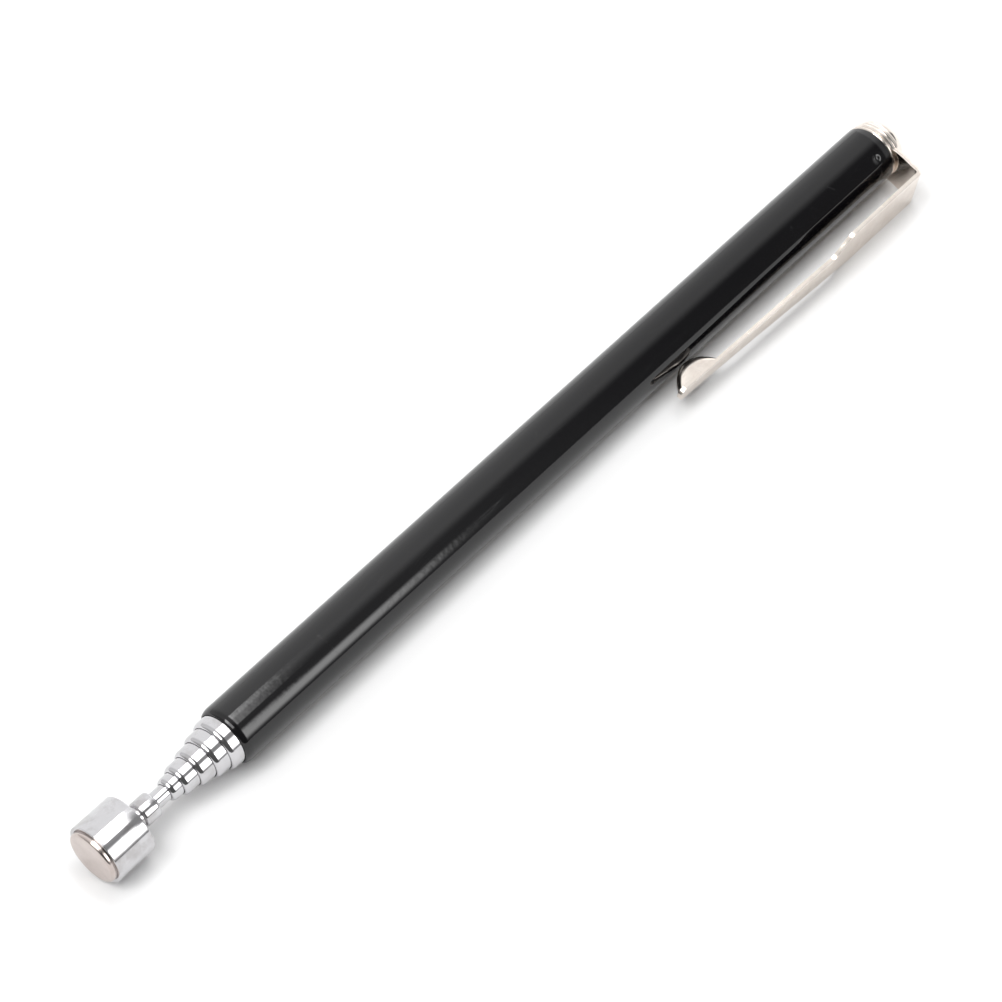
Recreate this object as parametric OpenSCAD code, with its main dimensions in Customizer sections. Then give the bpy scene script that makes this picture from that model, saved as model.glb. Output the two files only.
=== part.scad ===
// Pen-size telescoping magnetic pickup tool, lying closed on its side.
// Millimetres. The tool's axis is X: the magnet's face is at the origin and
// the handle runs towards +X. The pocket clip is on the -Y side.

/* [Head] */
// Outside diameter of the magnet's cup
head_d = 7.1; // [6.9:0.1:8]
// Length of the magnet's cup
cup_len = 5; // [4.5:0.1:7]
// Rounding of the cup's back edge
cup_edge_r = 0.2; // [0.1:0.05:0.6]
// Diameter of the magnet disc
magnet_d = 6.2; // [5.6:0.1:6.4]
// Thickness of the magnet disc
magnet_t = 3; // [2:0.1:3.5]
// How far the magnet stands out of its cup
magnet_proud = 0.6; // [0.2:0.05:1]
// Rounding of the magnet's front edge
magnet_edge_r = 0.3; // [0.1:0.1:0.5]
// Diameter of the collar behind the cup
neck_d = 2.96; // [2.6:0.02:3.2]
// Length of the collar and its neck behind the cup
neck_len = 3.2; // [2:0.05:4]

/* [Telescope] */
// Outside diameter of the widest stage
first_stage_d = 6.1; // [6:0.05:6.2]
// Step in diameter from one stage to the next
stage_step_d = 0.85; // [0.8:0.01:0.86]
// Diameter of the last stage, a solid rod
rod_d = 1.9; // [1.7:0.05:1.9]
// Usual length of a stage that shows when the tool is closed
stage_show = 1.75; // [1.5:0.05:2.5]
// Length of a friction spring
spring_len = 10; // [6:0.5:12]

/* [Handle] */
// Outside diameter of the handle tube
handle_d = 7; // [6.9:0.05:7.1]
// Length of the handle tube
handle_len = 107; // [100:1:120]
// Length over which the handle's mouth is rounded in
handle_round_len = 1; // [0.6:0.1:1.5]
// Diameter of the staking dimple
dimple_d = 1.1; // [0.8:0.1:1.4]

/* [Clip and end button] */
// Thickness of the clip's sheet
clip_t = 0.5; // [0.4:0.05:0.6]
// Width of the clip's leg and of the wide part of its arm
clip_wide_w = 5.2; // [4.4:0.1:5.4]
// Width of the narrow part of the arm where it starts
clip_narrow_w = 3; // [2.4:0.1:4]
// Distance from the tool's axis to the outside of the arm
clip_reach = 6.9; // [6:0.1:7]
// Length of the arm, from the leg to the tip
clip_len = 42.5; // [38:0.1:50]
// Angle of the clip below the horizontal
clip_tilt = 8.1; // [7:0.1:8.5]
// Height of the end button's dome
button_h = 2.6; // [1.6:0.1:3]
// Diameter of the end button
button_d = 6.6; // [6:0.1:6.8]

/* [Hidden] */
smooth = 96;
small_smooth = 48;
over = 1;               // overrun of a cutting solid

// Fits
slide_clear = 0.03;     // a stage in the mouth around it
spring_gap = 0.175;     // a stage in the bore around it, where the spring works
spring_proud = 0.145;   // a spring above its stage
seat_depth = 0.1;       // the groove that a spring sits in
seat_clear = 0.03;      // under a spring
end_play = 0.05;        // at each end of a spring
snug = 0.02;            // a plug or shank in its hole

// Stages: 0 is the handle, 1 to 5 are tubes and 6 is the rod
stages = 6;
show_trim = [-0.15, 0, 0.1, 0.15, -0.35, -0.05];
neck_front_x = magnet_proud + cup_len;
neck_rear_x = neck_front_x + neck_len;
function show(k) = stage_show + show_trim[k - 1];
function mouth_x(k) = k == stages ? neck_rear_x : mouth_x(k + 1) + show(k + 1);
function stage_r(k) = k == 0 ? handle_d / 2
                    : k == stages ? rod_d / 2
                    : (first_stage_d - (k - 1) * stage_step_d) / 2;
function mouth_r(k) = stage_r(k + 1) + slide_clear;
function bore_r(k) = stage_r(k + 1) + spring_gap;
lip_len = 0.5;
lip_ramp = 0.3;
stage_round_len = 0.65;
rim_proud = 0.12;
rim_len = 1;
slot_w = 0.35;

// Back end
handle_rear_x = mouth_x(0) + handle_len;
flange_t = 0.55;
plug_len = 12;
plug_wall = 0.6;
plug_head_t = 2.5;
collar_x = handle_rear_x + flange_t;
button_x = collar_x + clip_t;
shank_r = 1.4;
shank_foot_r = 1.9;
shank_foot_t = 0.6;
stage_rear_x = handle_rear_x - plug_len - 0.3;
seat_rear_x = stage_rear_x - rim_len;
seat_front_x = seat_rear_x - spring_len - 2 * end_play;
dimple_x = handle_rear_x - 2;
dimple_turn = 46;       // above the horizontal, on the clip's side
dimple_depth = 0.2;
dimple_wall = 0.22;
groove_w = 2.4;
groove_r = bore_r(0) - 0.3;

// Clip, in its own plane: x along the tool, v outward from the axis
bend_r = 0.85;
bend_x = button_x;
leg_lean = 0.35;        // lean of the leg towards the arm
bend_mid = bend_x - leg_lean - bend_r;
tip_x = bend_x - clip_len;
taper_start_x = bend_x - 13;
taper_end_x = bend_x - 16.8;
boat_start_x = bend_x - 36.2;
arm_bow = 0.2;          // rise of the arm where it narrows
arm_fall = 0.45;        // fall of the arm by the boat
tip_fall = 0.7;         // fall of the arm by the tip
split_x = bend_x - 1.45;
split_gap = 0.06;
boat_w = 1.6;
boat_r = 3.6;
boat_x = bend_x - 39.2;
crown_gap = 0.08;
narrow_half = clip_narrow_w / 2;
boat_half = narrow_half - 0.6;
tip_half = 0.75;

// Points of an arc about (cx, cy) with half-axes rx and ry
function arc(cx, cy, rx, ry, a0, a1, n = 10) =
    [for (i = [0:n]) let (a = a0 + (a1 - a0) * i / n) [cx + rx * cos(a), cy + ry * sin(a)]];

// A turned shape along the tool: points are [radius, x]
module turned(points, fn = smooth)
    rotate([0, 90, 0]) rotate_extrude($fn = fn) polygon(points);

// A rod or a hole along the tool
module rod(r, x0, x1, fn = smooth)
    translate([x0, 0, 0]) rotate([0, 90, 0]) cylinder(r = r, h = x1 - x0, $fn = fn);

// Front lip of stage k: out of its bore, round the mouth and up to the outside
function lip(k, round_len) = let (x = mouth_x(k), in_r = mouth_r(k), drop = stage_r(k) - in_r) concat(
    [[bore_r(k), x + lip_len + lip_ramp], [in_r, x + lip_len]],
    [for (p = arc(in_r, x + round_len, drop, round_len, -90, 0)) p]);

// Back end of stage k: the spring's seat and the rim behind it
function seat(k) = let (r = stage_r(k)) [
    [r, seat_front_x], [r - seat_depth, seat_front_x], [r - seat_depth, seat_rear_x],
    [r + rim_proud, seat_rear_x], [r + rim_proud, stage_rear_x]];

module stage_tube(k)
    color("gainsboro")
    turned(concat(lip(k, stage_round_len), seat(k), [[bore_r(k), stage_rear_x]]));

module stage_rod()
    color("gainsboro")
    turned(concat([[0, neck_front_x - 1.8], [stage_r(stages), neck_front_x - 1.8]],
                  seat(stages), [[0, stage_rear_x]]));

// Two half shells round the back end of stage k
module friction_spring(k) {
    r = stage_r(k);
    color("peru")
    difference() {
        rod(r + spring_proud, seat_front_x + end_play, seat_rear_x - end_play);
        rod(r - seat_depth + seat_clear, seat_front_x - over, seat_rear_x + over);
        translate([seat_front_x - over, -r - over, -slot_w / 2])
            cube([seat_rear_x - seat_front_x + 2 * over, 2 * (r + over), slot_w]);
    }
}

module handle_tube() {
    dimple_r = (dimple_d * dimple_d / 4 + dimple_depth * dimple_depth) / (2 * dimple_depth);
    dimple_at = [dimple_x, -(stage_r(0) - dimple_depth + dimple_r), 0];
    color([0.03, 0.03, 0.035])
    difference() {
        union() {
            turned(concat(lip(0, handle_round_len),
                          [[stage_r(0), handle_rear_x], [bore_r(0), handle_rear_x]]));
            // The wall that the punch pushed in, which locks the plug
            intersection() {
                rod(stage_r(0), dimple_x - 1, dimple_x + 1);
                rotate([-dimple_turn, 0, 0]) translate(dimple_at)
                    sphere(r = dimple_r + dimple_wall, $fn = small_smooth);
            }
        }
        rotate([-dimple_turn, 0, 0]) translate(dimple_at) sphere(r = dimple_r, $fn = small_smooth);
    }
}

module end_plug() {
    plug_r = bore_r(0) - snug;
    front_x = handle_rear_x - plug_len;
    head_x = handle_rear_x - plug_head_t;
    color("silver")
    difference() {
        turned(concat(
            [[0, front_x], [plug_r, front_x],
             [plug_r, dimple_x - groove_w / 2], [groove_r, dimple_x - groove_w / 2],
             [groove_r, dimple_x + groove_w / 2], [plug_r, dimple_x + groove_w / 2],
             [plug_r, handle_rear_x]],
            arc(stage_r(0) - flange_t / 2, handle_rear_x + flange_t / 2, flange_t / 2,
                flange_t / 2, -90, 90),
            [[0, handle_rear_x + flange_t]]));
        rod(groove_r - plug_wall, front_x - over, head_x);
        rod(shank_r + snug, front_x, collar_x + over, small_smooth);
    }
}

module end_button() {
    skirt = 0.3;
    foot_x = handle_rear_x - plug_head_t;
    color("silver")
    turned(concat(
        [[0, foot_x - shank_foot_t], [shank_foot_r, foot_x - shank_foot_t],
         [shank_foot_r, foot_x], [shank_r, foot_x], [shank_r, button_x],
         [button_d / 2, button_x]],
        arc(0, button_x + skirt, button_d / 2, button_h - skirt, 0, 90, 16)));
}

// Side view of the clip's sheet
clip_side = concat(
    [[bend_x, 0], [bend_x, stage_r(0)]],
    [for (p = arc(bend_mid, clip_reach - bend_r, bend_r, bend_r, 0, 90)) p],
    [[taper_start_x, clip_reach], [taper_end_x, clip_reach + arm_bow],
     [boat_start_x, clip_reach - arm_fall], [tip_x, clip_reach - tip_fall],
     [tip_x, clip_reach - tip_fall - clip_t], [boat_start_x, clip_reach - arm_fall - clip_t],
     [taper_end_x, clip_reach + arm_bow - clip_t], [taper_start_x, clip_reach - clip_t]],
    [for (p = arc(bend_mid, clip_reach - bend_r, bend_r - clip_t, bend_r - clip_t, 90, 0)) p],
    [[bend_x - clip_t, stage_r(0)], [bend_x - clip_t, 0]]);

// Half of the clip's outline from above, from the leg to the tip
clip_half = concat(
    [[bend_x + over, clip_wide_w / 2], [taper_start_x, clip_wide_w / 2],
     [taper_end_x, narrow_half], [boat_start_x, boat_half], [tip_x + 2.2, boat_half]],
    [for (p = arc(tip_x + 0.8, 0, 0.8, tip_half, 90, 180)) p]);

module clip_sheet(x0, x1)
    intersection() {
        linear_extrude(height = clip_wide_w + over, center = true)
            polygon([for (p = clip_side) [p[0], -p[1]]]);
        rotate([90, 0, 0]) linear_extrude(height = 3 * clip_reach, center = true)
            polygon(concat(clip_half, [for (i = [len(clip_half) - 1:-1:0])
                                        [clip_half[i][0], -clip_half[i][1]]]));
        translate([x0, -2 * clip_reach, -clip_wide_w])
            cube([x1 - x0, 2 * clip_reach, 2 * clip_wide_w]);
    }

// The rounded runner on the inside of the arm's end
module boat(top) {
    crown = stage_r(0) + crown_gap;
    half = boat_w / 2;
    intersection() {
        translate([boat_x, -(crown + boat_r), 0])
            cylinder(r = boat_r, h = boat_w + over, center = true, $fn = smooth);
        union() {
            translate([0, -(crown + boat_w / 2), 0]) rod(half, boat_x - boat_r, boat_x + boat_r);
            translate([boat_x - boat_r, -top, -half])
                cube([2 * boat_r, top - crown - boat_w / 2, 2 * half]);
        }
    }
}

module clip_collar()
    color([0.8, 0.74, 0.68])
    rotate([clip_tilt, 0, 0])
    difference() {
        union() {
            clip_sheet(split_x + split_gap / 2, bend_x + over);
            rod(stage_r(0) - 0.05, collar_x, button_x);
        }
        rod(shank_r + snug, collar_x - over, button_x + over, small_smooth);
    }

module clip_arm()
    color([0.8, 0.74, 0.68])
    rotate([clip_tilt, 0, 0])
    union() {
        clip_sheet(tip_x - over, split_x - split_gap / 2);
        boat(clip_reach - arm_fall - clip_t / 2);
    }

module neck_collar() {
    r = neck_d / 2;
    edge = 0.35;
    neck_r = 1.2;
    front_x = neck_front_x + 1;
    color("silver")
    difference() {
        turned(concat([[0, neck_front_x], [neck_r, neck_front_x], [neck_r, front_x]],
                      arc(r - edge, front_x + edge, edge, edge, -90, 0),
                      arc(r - edge, neck_rear_x - edge, edge, edge, 0, 90),
                      [[0, neck_rear_x]]));
        rod(stage_r(stages) + snug, neck_front_x - over, neck_rear_x + over, small_smooth);
    }
}

module magnet_cup() {
    r = head_d / 2;
    rim = 0.08;
    color("silver")
    difference() {
        turned(concat([[0, magnet_proud], [r - rim, magnet_proud], [r, magnet_proud + rim]],
                      arc(r - cup_edge_r, neck_front_x - cup_edge_r, cup_edge_r, cup_edge_r, 0, 90),
                      [[0, neck_front_x]]));
        rod(magnet_d / 2 + snug, magnet_proud - over, magnet_t);
        rod(stage_r(stages) + snug, magnet_t, neck_front_x + over, small_smooth);
    }
}

module magnet() {
    r = magnet_d / 2;
    color([0.86, 0.82, 0.78])
    turned(concat([[0, 0]], arc(r - magnet_edge_r, magnet_edge_r, magnet_edge_r, magnet_edge_r, -90, 0),
                  [[r, magnet_t], [0, magnet_t]]));
}

handle_tube();
end_plug();
end_button();
clip_collar();
clip_arm();
stage_tube(1);  // stage_1
stage_tube(2);  // stage_2
stage_tube(3);  // stage_3
stage_tube(4);  // stage_4
stage_tube(5);  // stage_5
stage_rod();  // stage_6
friction_spring(1);  // friction_spring_1
friction_spring(2);  // friction_spring_2
friction_spring(3);  // friction_spring_3
friction_spring(4);  // friction_spring_4
friction_spring(5);  // friction_spring_5
friction_spring(6);  // friction_spring_6
neck_collar();
magnet_cup();
magnet();
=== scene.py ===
"""Pen-size telescoping magnetic pickup tool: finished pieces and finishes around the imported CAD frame.

Every length in the making functions is in millimetres along the tool: x runs from the magnet's face to
the end button, r is the distance from the tool's axis. MM turns them into the frame's metres.
"""

import math

import bmesh
import bpy
from mathutils import Matrix, Vector


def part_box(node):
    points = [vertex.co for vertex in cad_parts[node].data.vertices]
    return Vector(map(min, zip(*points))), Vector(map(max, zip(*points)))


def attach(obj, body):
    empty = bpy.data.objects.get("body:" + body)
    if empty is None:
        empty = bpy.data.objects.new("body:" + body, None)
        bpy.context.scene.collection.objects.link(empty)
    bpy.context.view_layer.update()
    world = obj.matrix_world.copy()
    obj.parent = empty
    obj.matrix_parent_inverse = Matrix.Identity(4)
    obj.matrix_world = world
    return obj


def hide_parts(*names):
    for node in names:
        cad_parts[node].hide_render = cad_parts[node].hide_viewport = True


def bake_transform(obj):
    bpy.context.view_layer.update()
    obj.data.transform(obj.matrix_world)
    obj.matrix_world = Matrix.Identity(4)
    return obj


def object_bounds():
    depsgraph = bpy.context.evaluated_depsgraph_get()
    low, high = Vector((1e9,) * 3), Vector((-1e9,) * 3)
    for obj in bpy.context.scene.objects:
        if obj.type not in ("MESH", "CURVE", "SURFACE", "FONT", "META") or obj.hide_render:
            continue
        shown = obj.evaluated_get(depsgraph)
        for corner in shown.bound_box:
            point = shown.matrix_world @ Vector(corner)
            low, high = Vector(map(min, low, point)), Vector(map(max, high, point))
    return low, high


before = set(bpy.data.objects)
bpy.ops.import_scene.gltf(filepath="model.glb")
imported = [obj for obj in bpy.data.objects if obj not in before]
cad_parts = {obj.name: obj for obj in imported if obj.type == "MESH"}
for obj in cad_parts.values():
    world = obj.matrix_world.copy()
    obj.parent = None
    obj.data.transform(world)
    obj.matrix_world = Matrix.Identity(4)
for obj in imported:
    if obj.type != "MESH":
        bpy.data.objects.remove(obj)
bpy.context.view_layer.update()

MM = 0.001


# ---------------------------------------------------------------- shader writing


class Wire:
    """A value in a shader. Arithmetic on it adds Math nodes to its tree."""

    def __init__(self, tree, socket):
        self.tree = tree
        self.socket = socket

    def math(self, operation, *values):
        return self.tree.add("ShaderNodeMath", {"operation": operation}, dict(enumerate(values)))

    def __add__(self, other):
        return self.math("ADD", self, other)

    def __sub__(self, other):
        return self.math("SUBTRACT", self, other)

    def __mul__(self, other):
        return self.math("MULTIPLY", self, other)

    def __truediv__(self, other):
        return self.math("DIVIDE", self, other)

    def __rsub__(self, other):
        return self.math("SUBTRACT", other, self)

    __radd__ = __add__
    __rmul__ = __mul__


class Tree:
    """A node tree that is written by adding one node at a time."""

    def __init__(self, node_tree):
        self.nodes = node_tree.nodes
        self.links = node_tree.links
        self.nodes.clear()

    def add(self, kind, settings, inputs, output=0):
        node = self.nodes.new(kind)
        for name, value in settings.items():
            setattr(node, name, value)
        for key, value in inputs.items():
            if isinstance(value, Wire):
                self.links.new(value.socket, node.inputs[key])
            else:
                node.inputs[key].default_value = value
        return Wire(self, node.outputs[output]) if node.outputs else node

    def step(self, value, low, high, to_low=0.0, to_high=1.0):
        """Smooth rise of value between low and high."""
        names = {"Value": value, "From Min": low, "From Max": high, "To Min": to_low, "To Max": to_high}
        return self.add("ShaderNodeMapRange", {"interpolation_type": "SMOOTHSTEP"}, names)

    def band(self, value, low, high, soft):
        """1 between low and high, with soft edges outside them."""
        rise = self.step(value, low - soft, low)
        return rise * (1 - self.step(value, high, high + soft))

    def colour(self, factor, first, second):
        names = {0: factor, 6: first, 7: second}
        return self.add("ShaderNodeMix", {"data_type": "RGBA"}, names, output=2)

    def noise(self, vector, scale, detail=2.0, roughness=0.5):
        names = {"Vector": vector, "Scale": scale, "Detail": detail, "Roughness": roughness}
        return self.add("ShaderNodeTexNoise", {}, names)

    def place(self, stretch=(1.0, 1.0, 1.0)):
        """The place on the piece in millimetres, stretched along each axis."""
        here = self.add("ShaderNodeTexCoord", {}, {}, output=3)
        scale = tuple(s / MM for s in stretch)
        return self.add("ShaderNodeMapping", {}, {"Vector": here, "Scale": scale})

    def shifted(self, vector, offset):
        """vector with offset added to it."""
        return self.add("ShaderNodeVectorMath", {"operation": "ADD"}, {0: vector, 1: offset})

    def greater(self, first, second):
        """The greater of two values."""
        return self.add("ShaderNodeMath", {"operation": "MAXIMUM"}, {0: first, 1: second})

    def bump(self, height, strength, depth):
        """Normal of a surface on which a height of 1 stands for depth millimetres."""
        names = {"Strength": strength, "Distance": depth * MM, "Height": height}
        return self.add("ShaderNodeBump", {}, names)


def rgba(colour, factor=1.0):
    return tuple(c * factor for c in colour) + (1.0,)


def start_material(name):
    material = bpy.data.materials.new(name)
    material.use_nodes = True
    return material, Tree(material.node_tree)


def end_material(tree, **sockets):
    """Principled surface with the given sockets; names have _ for a blank."""
    named = {key.replace("_", " "): value for key, value in sockets.items()}
    surface = tree.add("ShaderNodeBsdfPrincipled", {}, named)
    tree.add("ShaderNodeOutputMaterial", {}, {"Surface": surface})


def scattered(tree, spacing, share, size, seed):
    """Specks: one per cell of the given spacing in mm, in a share of the cells, of about the given radius."""
    spot = tree.shifted(tree.place(), (seed, seed, seed))
    settings = {"feature": "F1", "voronoi_dimensions": "3D"}
    names = {"Vector": spot, "Scale": 1.0 / spacing}
    far = tree.add("ShaderNodeTexVoronoi", settings, names)
    cell = tree.add("ShaderNodeTexVoronoi", settings, names, output=1)
    pick = tree.add("ShaderNodeSeparateColor", {}, {"Color": cell})
    kept = tree.step(pick, share, share * 0.7)
    radius = pick * (size / spacing / share)
    return kept * (1 - tree.step(far / radius, 0.6, 1.0))


def hairlines(tree, along, density, thin, seed):
    """Fine scratches: edges of stretched cells, kept in patches. density counts cells to a millimetre."""
    spot = tree.shifted(tree.place(along), (seed, 0.0, seed))
    names = {"Vector": spot, "Scale": density}
    edge = tree.add("ShaderNodeTexVoronoi", {"feature": "DISTANCE_TO_EDGE"}, names)
    patch = tree.step(tree.noise(spot, density * 0.9), 0.52, 0.66)
    return patch * (1 - tree.step(edge, thin * 0.3, thin))


# ---------------------------------------------------------------- finishes


def black_enamel():
    """Glossy stoved enamel with dust nibs, faint wiping haze and hairline scratches."""
    material, tree = start_material("black_enamel")
    haze = tree.noise(tree.place((0.25, 1.0, 1.0)), 0.35, detail=4.0)
    dust = scattered(tree, spacing=1.9, share=0.16, size=0.07, seed=3.0)
    fine_dust = scattered(tree, spacing=0.8, share=0.10, size=0.035, seed=11.0)
    scratch = hairlines(tree, along=(0.12, 1.0, 1.0), density=0.8, thin=0.012, seed=5.0)
    cross_scratch = hairlines(tree, along=(1.0, 0.3, 0.3), density=0.5, thin=0.006, seed=21.0)
    marks = tree.greater(scratch * 0.5, cross_scratch * 0.35)
    specks = tree.greater(dust, fine_dust * 0.7)
    paint = tree.colour(marks * 0.35, rgba(ENAMEL), rgba(SCRATCHED))
    paint = tree.colour(specks * 0.55, paint, rgba(DUST))
    rough = tree.step(haze, 0.35, 0.75, 0.055, 0.095) + marks * 0.2 + specks * 0.3
    peel = tree.noise(tree.place(), 1.6, detail=1.0)
    height = peel * 0.5 + dust * 0.8 - marks * 0.15
    bump = tree.bump(height, strength=0.22, depth=0.02)
    end_material(tree, Base_Color=paint, Roughness=rough, Normal=bump, IOR=1.52)
    return material


def bright_plate(name, colour, shade, rough, ring=0.05, stain=0.5):
    """Polished plating over turned metal: faint rings round the axis, finger haze and fine wiping marks."""
    material, tree = start_material(name)
    cloud = tree.noise(tree.place(), 0.45, detail=5.0, roughness=0.6)
    rings = tree.noise(tree.place((1.0, 0.02, 0.02)), 9.0, detail=3.0)
    scratch = hairlines(tree, along=(0.5, 1.0, 1.0), density=1.1, thin=0.016, seed=7.0)
    pits = scattered(tree, spacing=0.7, share=0.12, size=0.035, seed=2.0)
    tint = tree.colour(tree.step(cloud, 0.42, 0.66) * stain, rgba(colour), rgba(shade))
    tint = tree.colour(pits * 0.5, tint, rgba(shade, 0.55))
    roughness = tree.step(cloud, 0.3, 0.75, rough, rough * 1.7) + scratch * 0.12 + pits * 0.15
    height = rings * ring - scratch * 0.3 - pits * 0.6
    bump = tree.bump(height, strength=0.25, depth=0.01)
    end_material(tree, Base_Color=tint, Metallic=1.0, Roughness=roughness, Normal=bump)
    return material


def satin_nickel(name, colour, shade, rough):
    """Nickel plate over ground or stamped metal: softer, with a grain of fine lines and small dings."""
    material, tree = start_material(name)
    cloud = tree.noise(tree.place(), 0.8, detail=5.0, roughness=0.65)
    grain = tree.noise(tree.place((0.3, 2.0, 2.0)), 6.0, detail=2.0)
    scratch = hairlines(tree, along=(1.0, 0.6, 0.6), density=0.9, thin=0.02, seed=13.0)
    pits = scattered(tree, spacing=0.5, share=0.14, size=0.04, seed=8.0)
    tint = tree.colour(tree.step(cloud, 0.3, 0.75), rgba(colour), rgba(shade))
    tint = tree.colour(pits * 0.6, tint, rgba(shade, 0.5))
    roughness = tree.step(cloud, 0.3, 0.8, rough, rough * 1.5) + scratch * 0.1 + pits * 0.1
    height = grain * 0.25 - scratch * 0.4 - pits * 0.8
    bump = tree.bump(height, strength=0.3, depth=0.012)
    end_material(tree, Base_Color=tint, Metallic=1.0, Roughness=roughness, Normal=bump)
    return material


ENAMEL = (0.0032, 0.0030, 0.0037)
SCRATCHED = (0.05, 0.05, 0.052)
DUST = (0.42, 0.41, 0.40)
CHROME = (0.61, 0.605, 0.62)
CHROME_SHADE = (0.45, 0.435, 0.435)
NICKEL = (0.88, 0.81, 0.745)
NICKEL_SHADE = (0.78, 0.70, 0.635)
MAGNET_PLATE = (0.60, 0.53, 0.50)
MAGNET_SHADE = (0.53, 0.465, 0.435)
BRONZE = (0.60, 0.38, 0.20)
BRONZE_SHADE = (0.48, 0.29, 0.15)

enamel_finish = black_enamel()
stage_finish = bright_plate("stage_chrome", CHROME, CHROME_SHADE, 0.06)
rod_finish = bright_plate("rod_chrome", CHROME, CHROME_SHADE, 0.07)
head_finish = bright_plate("head_chrome", CHROME, CHROME_SHADE, 0.075, ring=0.12, stain=0.8)
button_finish = bright_plate("button_nickel", NICKEL, NICKEL_SHADE, 0.10)
plug_finish = bright_plate("plug_nickel", NICKEL, NICKEL_SHADE, 0.12)
clip_finish = satin_nickel("clip_nickel", NICKEL, NICKEL_SHADE, 0.13)
magnet_finish = satin_nickel("magnet_nickel", MAGNET_PLATE, MAGNET_SHADE, 0.13)
spring_finish = satin_nickel("spring_bronze", BRONZE, BRONZE_SHADE, 0.28)


# ---------------------------------------------------------------- turned pieces


def lathe_tree():
    """Geometry Nodes: sweeps a closed wall outline, drawn in the XY plane, round the tool's axis."""
    tree = bpy.data.node_groups.new("lathe_round_axis", "GeometryNodeTree")
    face = tree.interface
    face.new_socket("Geometry", in_out="INPUT", socket_type="NodeSocketGeometry")
    turns = face.new_socket("Segments", in_out="INPUT", socket_type="NodeSocketInt")
    turns.default_value = 128
    guide = face.new_socket("Guide Radius", in_out="INPUT", socket_type="NodeSocketFloat")
    guide.default_value = 0.01
    face.new_socket("Finish", in_out="INPUT", socket_type="NodeSocketMaterial")
    face.new_socket("Geometry", in_out="OUTPUT", socket_type="NodeSocketGeometry")
    new, link = tree.nodes.new, tree.links.new
    given, result = new("NodeGroupInput"), new("NodeGroupOutput")
    outline = new("GeometryNodeMeshToCurve")
    ring = new("GeometryNodeCurvePrimitiveCircle")
    turn = new("GeometryNodeTransform")
    sweep = new("GeometryNodeCurveToMesh")
    weld = new("GeometryNodeMergeByDistance")
    smooth = new("GeometryNodeSetShadeSmooth")
    real = new("GeometryNodeRealizeInstances")
    finish = new("GeometryNodeSetMaterial")
    turn.inputs["Rotation"].default_value = (0.0, math.pi / 2, 0.0)
    weld.inputs["Distance"].default_value = 1e-7
    link(given.outputs["Geometry"], outline.inputs["Mesh"])
    link(given.outputs["Segments"], ring.inputs["Resolution"])
    link(given.outputs["Guide Radius"], ring.inputs["Radius"])
    link(ring.outputs["Curve"], turn.inputs["Geometry"])
    link(turn.outputs["Geometry"], sweep.inputs["Curve"])
    link(outline.outputs["Curve"], sweep.inputs["Profile Curve"])
    link(sweep.outputs["Mesh"], weld.inputs["Geometry"])
    link(weld.outputs["Geometry"], smooth.inputs["Geometry"])
    link(smooth.outputs["Geometry"], real.inputs["Geometry"])
    link(real.outputs["Geometry"], finish.inputs["Geometry"])
    link(given.outputs["Finish"], finish.inputs["Material"])
    link(finish.outputs["Geometry"], result.inputs["Geometry"])
    return tree


LATHE = lathe_tree()

# Radius of the circle that an outline is swept along, in metres, and the angle past which an edge is sharp
GUIDE_R = 10 * MM
TURNED_SHARP = math.radians(35)


def plain_mesh(obj, name):
    """The evaluated object as a new plain mesh object; the original is removed."""
    bpy.context.view_layer.update()
    seen = obj.evaluated_get(bpy.context.evaluated_depsgraph_get())
    made = bpy.data.objects.new(name, bpy.data.meshes.new_from_object(seen))
    made.data.name = name
    bpy.data.objects.remove(obj)
    bpy.context.collection.objects.link(made)
    return made


def face_outwards(mesh):
    shape = bmesh.new()
    shape.from_mesh(mesh)
    bmesh.ops.recalc_face_normals(shape, faces=shape.faces)
    shape.to_mesh(mesh)
    shape.free()


def turned(name, outline, finish, segments=160):
    """A turned piece. outline is a closed loop of (r, x) points round its wall, in mm."""
    wire = bpy.data.meshes.new(name + "_outline")
    points = [(x * MM, r * MM - GUIDE_R, 0.0) for r, x in outline]
    loop = [(i, (i + 1) % len(points)) for i in range(len(points))]
    wire.from_pydata(points, loop, [])
    blank = bpy.data.objects.new(name + "_blank", wire)
    bpy.context.collection.objects.link(blank)
    lathe = blank.modifiers.new("lathe", "NODES")
    lathe.node_group = LATHE
    items = LATHE.interface.items_tree
    sockets = {item.name: item.identifier for item in items if item.in_out == "INPUT"}
    lathe[sockets["Segments"]] = segments
    lathe[sockets["Guide Radius"]] = GUIDE_R
    lathe[sockets["Finish"]] = finish
    piece = plain_mesh(blank, name)
    face_outwards(piece.data)
    piece.data.set_sharp_from_angle(angle=TURNED_SHARP)
    return piece


def arc(centre_r, centre_x, radius_r, radius_x, first, last, steps=8):
    """Points of an elliptic arc, angles in degrees from outward round to +x."""
    turns = [math.radians(first + (last - first) * i / steps) for i in range(steps + 1)]
    return [(centre_r + radius_r * math.cos(a), centre_x + radius_x * math.sin(a)) for a in turns]


def reach(node):
    """Ends along the tool and largest radius of a turned CAD node, in mm."""
    low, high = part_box(node)
    return low[0] / MM, high[0] / MM, (high[2] - low[2]) / 2 / MM


# Telescoping fit, in mm: clearance in a rolled mouth, and the wider gap behind it for the friction spring,
# which sits in a groove ahead of the stop rim
SLIDE_CLEAR = 0.03
SPRING_GAP = 0.175
SEAT_DEPTH = 0.10
SPRING_LEN = 10.1
RIM_PROUD = 0.12
RIM_LEN = 1.0

# Rolled mouths: length of the lip and of the ramp behind it, its nose, and how far the roll reaches back
LIP_LEN = 0.5
LIP_RAMP = 0.3
MOUTH_NOSE = 0.05
STAGE_ROUND = 0.65
HANDLE_ROUND = 1.0

# Broken edge of a stage, rounded back edge of the handle, and the clearance of a fixed fit
EDGE = 0.06
HANDLE_EDGE = 0.08
SHANK_GAP = 0.02

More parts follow.
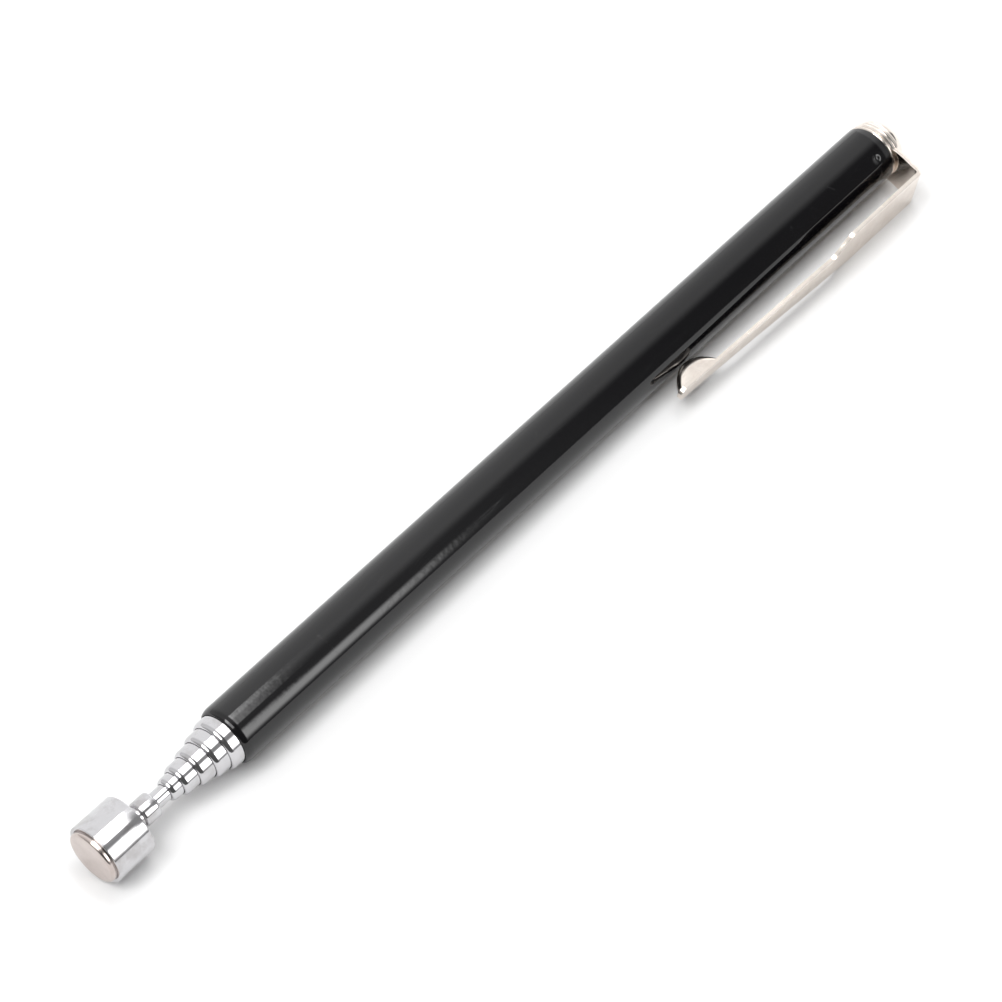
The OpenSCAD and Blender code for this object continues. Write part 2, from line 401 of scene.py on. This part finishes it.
# Button's rivet and the plug it goes through
RIVET_R = 1.4
RIVET_HOLE_R = 1.42
FOOT_R = 1.9
FOOT_LEN = 0.6
FOOT_EDGE = 0.1
PLUG_WALL = 0.9
PLUG_FLOOR = 2.5
BUTTON_SKIRT = 0.3
BUTTON_EDGE = 0.16

handle_front, handle_rear, handle_r = reach("handle_tube")
rod_front, stage_rear, rod_rim_r = reach("stage_6")
stage_r = {0: handle_r, 6: rod_rim_r - RIM_PROUD}
mouth_x = {0: handle_front}
for k in range(1, 6):
    mouth_x[k], _, rim_r = reach(f"stage_{k}")
    stage_r[k] = rim_r - RIM_PROUD


def mouth(k, roll):
    """Rolled-in mouth of stage k, from its bore round to its outside."""
    inner = stage_r[k + 1] + SLIDE_CLEAR
    bore = stage_r[k + 1] + SPRING_GAP
    x = mouth_x[k]
    nose = MOUTH_NOSE
    drop = stage_r[k] - inner - nose
    inside = [(bore, x + LIP_LEN + LIP_RAMP), (inner, x + LIP_LEN)]
    lip = arc(inner + nose, x + nose, nose, nose, 180, 270, steps=4)
    shoulder = arc(inner + nose, x + roll, drop, roll, -90, 0, steps=14)
    return inside + lip + shoulder[1:]


def seat(k):
    """Back end of stage k: groove of the friction spring and the stop rim."""
    r = stage_r[k]
    rim = stage_rear - RIM_LEN
    front = rim - SPRING_LEN
    stop = r + RIM_PROUD
    return [
        (r, front - EDGE), (r - EDGE, front), (r - SEAT_DEPTH, front), (r - SEAT_DEPTH, rim),
        (stop - EDGE, rim), (stop, rim + EDGE), (stop, stage_rear - EDGE), (stop - EDGE, stage_rear),
    ]


def stage_tube(k):
    bore = stage_r[k + 1] + SPRING_GAP
    outline = mouth(k, STAGE_ROUND) + seat(k) + [(bore, stage_rear)]
    return turned(f"telescope_stage_{k}", outline, stage_finish)


def stage_rod():
    r = stage_r[6]
    nose = [(0.0, rod_front), (r - EDGE, rod_front), (r, rod_front + EDGE)]
    outline = nose + seat(6) + [(0.0, stage_rear)]
    return turned("telescope_rod", outline, rod_finish, segments=96)


# Staking dimple: distance from the tube's back end, turn above the horizontal on the clip's side, and size
DIMPLE_BACK = 2.0
DIMPLE_TURN = 46.0
DIMPLE_R = 0.62
DIMPLE_DEPTH = 0.13
BOWL_POWER = 2.2

# Raised brim round it: place and spread in dimple radii, and height in mm
BRIM_AT = 1.12
BRIM_SPREAD = 0.22
BRIM_HEIGHT = 0.004

# Rows of vertices that carry it, and how far they reach in dimple radii
DIMPLE_ROWS = 26
DIMPLE_REACH = 1.6


def handle_tube():
    """Enamelled tube with its rolled mouth and the punched dimple that stakes the plug."""
    bore = stage_r[1] + SPRING_GAP
    dimple_x = handle_rear - DIMPLE_BACK
    reach_x = DIMPLE_R * DIMPLE_REACH
    fine = [dimple_x + reach_x * (2 * i / DIMPLE_ROWS - 1) for i in range(DIMPLE_ROWS + 1)]
    edge = HANDLE_EDGE
    rounded = arc(handle_r - edge, handle_rear - edge, edge, edge, 0, 90, steps=4)
    outside = [(handle_r, x) for x in fine] + rounded
    inside = [(bore, handle_rear)] + [(bore, x) for x in reversed(fine)]
    outline = mouth(0, HANDLE_ROUND) + outside + inside
    piece = turned("enamelled_handle", outline, enamel_finish, segments=288)
    turn = math.radians(DIMPLE_TURN)
    out = Vector((0.0, -math.cos(turn), math.sin(turn)))
    centre = out * handle_r * MM + Vector((dimple_x * MM, 0.0, 0.0))
    for vertex in piece.data.vertices:
        away = vertex.co - centre
        if away.dot(out) < -handle_r * MM:
            continue
        flat = away - out * away.dot(out)
        across = flat.length / (DIMPLE_R * MM)
        bowl = max(0.0, 1.0 - across * across) ** BOWL_POWER
        brim = math.exp(-((across - BRIM_AT) / BRIM_SPREAD) ** 2) * BRIM_HEIGHT
        vertex.co -= out * (DIMPLE_DEPTH * bowl - brim) * MM
    return piece


def neck_collar():
    """Collar standing clear of the cup on its own short neck."""
    front, rear, r = reach("neck_collar")
    bore = stage_r[6] + SHANK_GAP
    neck_r = 1.2
    neck_len = 1.0
    edge = 0.35
    shoulder = front + neck_len
    outline = (
        [(bore, front), (neck_r, front), (neck_r, shoulder)]
        + arc(r - edge, shoulder + edge, edge, edge, -90, 0, steps=10)
        + arc(r - edge, rear - edge, edge, edge, 0, 90, steps=10)
        + [(bore, rear)]
    )
    return turned("head_neck_collar", outline, head_finish, segments=96)


def magnet_cup():
    """Turned cup: thin lip round the magnet, plain side and a softened back edge."""
    front, rear, r = reach("magnet_cup")
    _, magnet_rear, magnet_r = reach("magnet")
    well = magnet_r + SHANK_GAP
    edge = 0.2
    lip = 0.09
    lip_foot = 0.10
    bore = stage_r[6] + SHANK_GAP
    outline = (
        [(bore, magnet_rear), (well, magnet_rear), (well, front + lip_foot)]
        + arc(r - lip, front + lip, r - lip - well, lip, 180, 270, steps=4)[1:]
        + arc(r - lip, front + lip, lip, lip, -90, 0, steps=6)[1:]
        + arc(r - edge, rear - edge, edge, edge, 0, 90, steps=10)
        + [(bore, rear)]
    )
    return turned("head_magnet_cup", outline, head_finish, segments=192)


def magnet_disc():
    """Plated disc with a flat face and a rounded edge."""
    front, rear, r = reach("magnet")
    edge = 0.3
    inner_ring = r * 0.6
    outline = (
        [(0.0, front), (inner_ring, front)]
        + arc(r - edge, front + edge, edge, edge, -90, 0, steps=14)
        + [(r, rear), (0.0, rear)]
    )
    return turned("head_magnet_disc", outline, magnet_finish, segments=192)


def plug_and_button():
    """The plug's pale flange and shank, and the domed button riveted through it."""
    front, rear, r = reach("end_plug")
    button_foot, dome_top, base_r = reach("end_button")
    ring_rear = rear + CLIP_T
    shank = stage_r[1] + SPRING_GAP - SHANK_GAP
    roll = (rear - handle_rear) / 2
    floor_x = handle_rear - PLUG_FLOOR
    well = shank - PLUG_WALL
    outline = (
        [(well, front), (shank, front), (shank, handle_rear)]
        + arc(r - roll, handle_rear + roll, roll, roll, -90, 90, steps=10)
        + [(RIVET_HOLE_R, rear), (RIVET_HOLE_R, floor_x), (well, floor_x)]
    )
    plug = turned("end_plug_turned", outline, plug_finish, segments=192)
    edge = BUTTON_EDGE
    dome_foot = ring_rear + BUTTON_SKIRT
    foot_rear = button_foot + FOOT_LEN
    outline = (
        [(0.0, button_foot), (FOOT_R - FOOT_EDGE, button_foot), (FOOT_R, button_foot + FOOT_EDGE)]
        + [(FOOT_R, foot_rear), (RIVET_R, foot_rear), (RIVET_R, ring_rear), (base_r - edge, ring_rear)]
        + arc(base_r - edge, ring_rear + edge, edge, edge, -90, 0, steps=6)[1:]
        + arc(0.0, dome_foot, base_r, dome_top - dome_foot, 0, 90, steps=32)
    )
    button = turned("end_button_domed", outline, button_finish, segments=192)
    return plug, button


# ---------------------------------------------------------------- pocket clip

# Sheet thickness, turn of the clip below the horizontal in degrees, distance from the tool's axis to the
# arm's outer face, and length from the leg's outer face to the tip
CLIP_T = 0.5
CLIP_TILT = 8.1
CLIP_REACH = 6.9
CLIP_LEN = 42.5

# Ring, leg and the bend between leg and arm
RING_R = 3.38
LEG_LEAN = 0.35
LEAN_START = 0.2
BEND_R = 0.85

# Half widths of the leg, of the narrow arm and of the arm at its tip, and where the taper between the
# first two lies, back from the leg's outer face
WIDE_HALF = 2.6
NARROW_HALF = 1.5
BOAT_HALF = 0.9
TAPER_START = 12.8
TAPER_END = 17.0
TIP_ROUND = 0.8
TIP_BLUNT = 0.25

# The arm steps out by BOW_RISE, then falls towards the tube by ARM_FALL for every FALL_LEN of its length
BOW_START = 13.0
BOW_END = 16.8
BOW_RISE = 0.2
ARM_FALL = 0.65
FALL_LEN = 19.4

# Runner: height, half width, and its back end, crown and front end, back from the leg's outer face
BOAT_DEPTH = 2.5
BOAT_WIDE = 0.8
BOAT_REAR = 36.0
BOAT_CROWN = 38.9
BOAT_FRONT = 42.4
BOAT_INSET = 0.05

# Rows of vertices across and along the sheet and the runner, and round the ring and its hole
COLUMNS = 12
LEG_ROWS = 8
BEND_ROWS = 8
ARM_ROWS = 90
TIP_ROWS = 16
RING_POINTS = 96
HOLE_POINTS = 48
BOAT_ROWS = 72
BOAT_COLUMNS = 36

# Rounding of the sheet's edges, and the angle past which a shaded edge is sharp
SHEET_ROUND = 0.17
SHEET_ROUND_STEPS = 4
SHEET_BEND_ANGLE = math.radians(50)
SHEET_SHARP = math.radians(40)


def blend_between(x, low, high):
    """Smooth rise from 0 at low to 1 at high."""
    t = min(1.0, max(0.0, (x - low) / (high - low)))
    return t * t * (3 - 2 * t)


def clip_back_x():
    """Outer face of the clip's leg along the tool."""
    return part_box("clip_collar")[1][0] / MM


def clip_half_width(back):
    """Half the arm's width at a distance back from the leg's outer face."""
    wide = WIDE_HALF + (NARROW_HALF - WIDE_HALF) * blend_between(back, TAPER_START, TAPER_END)
    half = wide + (BOAT_HALF - NARROW_HALF) * blend_between(back, TAPER_END, BOAT_REAR)
    left = CLIP_LEN - back
    if left < TIP_ROUND:
        rounded = math.sqrt(max(0.0, 1 - (1 - left / TIP_ROUND) ** 2))
        half *= TIP_BLUNT + (1 - TIP_BLUNT) * rounded
    return half


def clip_height(back):
    """Distance from the tool's axis to the middle of the arm's sheet."""
    rise = BOW_RISE * blend_between(back, BOW_START, BOW_END)
    fall = ARM_FALL * max(0.0, back - BOW_END) / FALL_LEN
    return CLIP_REACH - CLIP_T / 2 + (rise - fall)


def boat_height(back, across):
    """Height of the runner over the arm's middle; across is 0 on the middle and 1 on the edge."""
    if back < BOAT_CROWN:
        along = (1 - ((BOAT_CROWN - back) / (BOAT_CROWN - BOAT_REAR)) ** 2.2) ** 0.55
    else:
        along = (1 - ((back - BOAT_CROWN) / (BOAT_FRONT - BOAT_CROWN)) ** 1.9) ** 0.9
    return BOAT_DEPTH * along * (1 - across ** 2.6) ** 0.6


def add_boat(mesh):
    """The runner: a raised rounded shape closed along the middle of the sheet."""
    wide = BOAT_COLUMNS
    rows = []
    for i in range(1, BOAT_ROWS):
        turn = math.pi * i / BOAT_ROWS
        back = (BOAT_REAR + BOAT_FRONT) / 2 - (BOAT_FRONT - BOAT_REAR) / 2 * math.cos(turn)
        half = min(BOAT_WIDE, clip_half_width(back) - BOAT_INSET)
        x = clip_back_x() - back
        v = clip_height(back)
        top = []
        for j in range(wide + 1):
            across = -math.cos(math.pi * j / wide)
            rise = boat_height(back, abs(across)) if 0 < j < wide else 0.0
            top.append(mesh.verts.new((x * MM, -(v - rise) * MM, across * half * MM)))
        rows.append(top)
    for near, far in zip(rows, rows[1:]):
        for j in range(wide):
            mesh.faces.new((near[j], near[j + 1], far[j + 1], far[j]))
        mesh.faces.new((near[0], far[0], far[-1], near[-1]))
    mesh.faces.new(rows[0])
    mesh.faces.new(rows[-1])


def clip_sheet(name):
    """The one stamped sheet: ring, leg, bend, tapered arm and pressed runner."""
    ring_x = clip_back_x()
    middle = ring_x - CLIP_T / 2
    turn_r = BEND_R - CLIP_T / 2
    mesh = bmesh.new()

    def row(x, v, half):
        across = [(2 * i / COLUMNS - 1) * half * MM for i in range(COLUMNS + 1)]
        return [mesh.verts.new((x * MM, -v * MM, z)) for z in across]

    rows = []
    leg_start = math.sqrt(RING_R ** 2 - WIDE_HALF ** 2)
    leg_top = CLIP_REACH - BEND_R
    for i in range(LEG_ROWS + 1):
        v = leg_start + (leg_top - leg_start) * i / LEG_ROWS
        lean = LEG_LEAN * blend_between(v, RING_R - LEAN_START, leg_top)
        rows.append(row(middle - lean, v, WIDE_HALF))
    for i in range(1, BEND_ROWS + 1):
        a = math.pi / 2 * i / BEND_ROWS
        x = ring_x - LEG_LEAN - BEND_R + turn_r * math.cos(a)
        rows.append(row(x, leg_top + turn_r * math.sin(a), WIDE_HALF))
    arm_start = BEND_R + LEG_LEAN
    arm_len = CLIP_LEN - TIP_ROUND - arm_start
    stations = [arm_start + arm_len * i / ARM_ROWS for i in range(1, ARM_ROWS + 1)]
    tip_turns = [math.pi / 2 * i / TIP_ROWS for i in range(1, TIP_ROWS + 1)]
    stations += [CLIP_LEN - TIP_ROUND + TIP_ROUND * math.sin(a) for a in tip_turns]
    for back in stations:
        rows.append(row(ring_x - back, clip_height(back), clip_half_width(back)))
    for near, far in zip(rows, rows[1:]):
        for i in range(COLUMNS):
            mesh.faces.new((near[i], near[i + 1], far[i + 1], far[i]))

    # The ring round the button's shank, filled out to the leg's first row
    first = math.asin(WIDE_HALF / RING_R)
    span = 2 * math.pi - 2 * first

    def round_axis(r, a):
        return mesh.verts.new((middle * MM, -r * math.cos(a) * MM, r * math.sin(a) * MM))

    outer = [round_axis(RING_R, first + span * i / RING_POINTS) for i in range(1, RING_POINTS)]
    rim = [rows[0][-1]] + outer + [rows[0][0]]
    edges = [mesh.edges.new(pair) for pair in zip(rim, rim[1:])]
    edges += [mesh.edges.get(pair) for pair in zip(rows[0], rows[0][1:])]
    hole = [round_axis(RIVET_HOLE_R, 2 * math.pi * i / HOLE_POINTS) for i in range(HOLE_POINTS)]
    edges += [mesh.edges.new(pair) for pair in zip(hole, hole[1:] + hole[:1])]
    bmesh.ops.triangle_fill(mesh, use_beauty=True, edges=edges)
    bmesh.ops.recalc_face_normals(mesh, faces=mesh.faces)
    data = bpy.data.meshes.new(name)
    mesh.to_mesh(data)
    mesh.free()
    sheet = bpy.data.objects.new(name, data)
    bpy.context.collection.objects.link(sheet)
    thick = sheet.modifiers.new("thick", "SOLIDIFY")
    thick.thickness = CLIP_T * MM
    thick.offset = 0.0
    thick.use_even_offset = True
    soften = sheet.modifiers.new("soften", "BEVEL")
    soften.width = SHEET_ROUND * MM
    soften.segments = SHEET_ROUND_STEPS
    soften.limit_method = "ANGLE"
    soften.angle_limit = SHEET_BEND_ANGLE
    made = plain_mesh(sheet, name)
    whole = bmesh.new()
    whole.from_mesh(made.data)
    add_boat(whole)
    bmesh.ops.recalc_face_normals(whole, faces=whole.faces)
    whole.transform(Matrix.Rotation(math.radians(CLIP_TILT), 4, "X"))
    whole.to_mesh(made.data)
    whole.free()
    made.data.materials.clear()
    made.data.materials.append(clip_finish)
    for face in made.data.polygons:
        face.use_smooth = True
    made.data.set_sharp_from_angle(angle=SHEET_SHARP)
    return made


# ---------------------------------------------------------------- the tool

handle = handle_tube()
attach(handle, "handle")
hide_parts("handle_tube")

plug, button = plug_and_button()
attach(plug, "handle")
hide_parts("end_plug")
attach(button, "handle")
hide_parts("end_button")

for k in range(1, 6):
    tube = stage_tube(k)
    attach(tube, f"tube_{k}")
    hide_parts(f"stage_{k}")

# The friction springs keep their CAD shape and only get their finish
for k in range(1, 7):
    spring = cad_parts[f"friction_spring_{k}"]
    for slot in spring.material_slots:
        slot.material = spring_finish

rod = stage_rod()
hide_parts("stage_6")
collar = neck_collar()
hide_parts("neck_collar")
cup = magnet_cup()
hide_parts("magnet_cup")
disc = magnet_disc()
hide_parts("magnet")
for piece in (rod, collar, cup, disc):
    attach(piece, "head")

clip = clip_sheet("pocket_clip")
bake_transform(clip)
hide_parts("clip_collar", "clip_arm")


# ---------------------------------------------------------------- studio

# Where the camera stands: direction from the target, distance, point looked at, roll and lens
VIEW_AZIMUTH = math.radians(-48.6)
VIEW_ELEVATION = math.radians(53.0)
VIEW_DISTANCE = 384.6 * MM
VIEW_TARGET = Vector((60.4, -1.2, 0.0)) * MM
VIEW_ROLL = math.radians(-0.1)
LENS_MM = 129.3

# Half width of the floor in metres, strength of the side panel, and the brightness of the plain backdrop
FLOOR_HALF = 8.0
SIDE_POWER = 4.6
BACKDROP = 1.1


def studio_camera():
    data = bpy.data.cameras.new("camera")
    data.lens = LENS_MM
    data.sensor_width = 36.0
    data.clip_start = 0.01
    data.clip_end = 50.0
    camera = bpy.data.objects.new("camera", data)
    back = Vector((
        math.sin(VIEW_AZIMUTH) * math.cos(VIEW_ELEVATION),
        -math.cos(VIEW_AZIMUTH) * math.cos(VIEW_ELEVATION),
        math.sin(VIEW_ELEVATION),
    ))
    camera.location = VIEW_TARGET + back * VIEW_DISTANCE
    aim = (-back).to_track_quat("-Z", "Y").to_matrix() @ Matrix.Rotation(VIEW_ROLL, 3, "Z")
    camera.rotation_euler = aim.to_euler()
    bpy.context.collection.objects.link(camera)
    bpy.context.scene.camera = camera


def studio_floor():
    low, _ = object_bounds()
    size = FLOOR_HALF
    mesh = bpy.data.meshes.new("floor")
    corners = [(-size, -size, low[2]), (size, -size, low[2]), (size, size, low[2]), (-size, size, low[2])]
    mesh.from_pydata(corners, [], [(0, 1, 2, 3)])
    floor = bpy.data.objects.new("floor", mesh)
    bpy.context.collection.objects.link(floor)
    material, tree = start_material("floor_paper")
    end_material(tree, Base_Color=rgba((0.90, 0.90, 0.90)), Roughness=0.9, Specular_IOR_Level=0.0)
    mesh.materials.append(material)


def studio_light():
    """Soft white panels laid out along the tool: turn is the angle round the tool's axis above the
    clip's side, and end is how far a direction leans towards the end button."""
    world = bpy.data.worlds.new("studio")
    world.use_nodes = True
    bpy.context.scene.world = world
    tree = Tree(world.node_tree)
    direction = tree.add("ShaderNodeTexCoord", {}, {})
    parts = {"Vector": direction}
    end = tree.add("ShaderNodeSeparateXYZ", {}, parts, output=0)
    side = tree.add("ShaderNodeSeparateXYZ", {}, parts, output=1)
    up = tree.add("ShaderNodeSeparateXYZ", {}, parts, output=2)
    turn = up.math("ARCTAN2", up, side * -1.0) * (180 / math.pi)

    # Long panel overhead, cut off sharply towards the end button and stronger on its far side
    over_head = tree.band(end, -0.62, -0.22, 0.05) * 1.3 + tree.band(end, 0.20, 0.3585, 0.0015)
    top_box = tree.band(turn, 68.5, 108.5, 1.5) * over_head
    top_box = top_box * tree.step(end, 0.340, 0.3585, 1.0, 0.35) * tree.step(turn, 88.0, 96.0, 3.0, 5.4)
    top_box = top_box + tree.step(turn, 52.0, 68.0) * over_head * 0.1

    # Wall behind the tool, seen from the clip's side
    back_wall = tree.step(end, -0.6, -0.15, 0.35, 0.70) + tree.step(end, 0.33, 0.37) * 0.1
    back_wall = back_wall * tree.step(turn, 66.0, 100.0)

    # Low panel on the clip's side, towards the end button
    lowered = turn + tree.step(end, 0.3580, 0.3600) * 8
    side_box = tree.step(turn, 4.0, 22.0) * (1 - tree.step(lowered, 37.0, 52.0))
    side_box = side_box * tree.step(end, 0.12, 0.2) * (1 - tree.step(end, 0.393, 0.430))

    # Strips past the end button, and the dim room round everything
    far_wall = tree.band(end, 0.62, 0.70, 0.02) * 0.55 + tree.band(end, 0.78, 0.90, 0.03) * 0.7
    room = tree.step(end, 0.05, 0.22, 0.12, 0.34) - tree.step(end, 0.40, 0.52) * 0.2
    light = room + back_wall + top_box + side_box * SIDE_POWER + far_wall

    # The backdrop itself is plain white
    seen = tree.add("ShaderNodeLightPath", {}, {})
    shown = tree.add("ShaderNodeMix", {"data_type": "FLOAT"}, {0: seen, 2: light, 3: BACKDROP})
    glow = tree.add("ShaderNodeBackground", {}, {"Color": rgba((1, 1, 1)), "Strength": shown})
    tree.add("ShaderNodeOutputWorld", {}, {"Surface": glow})
    bpy.context.scene.view_settings.view_transform = "Standard"


studio_camera()
studio_floor()
studio_light()
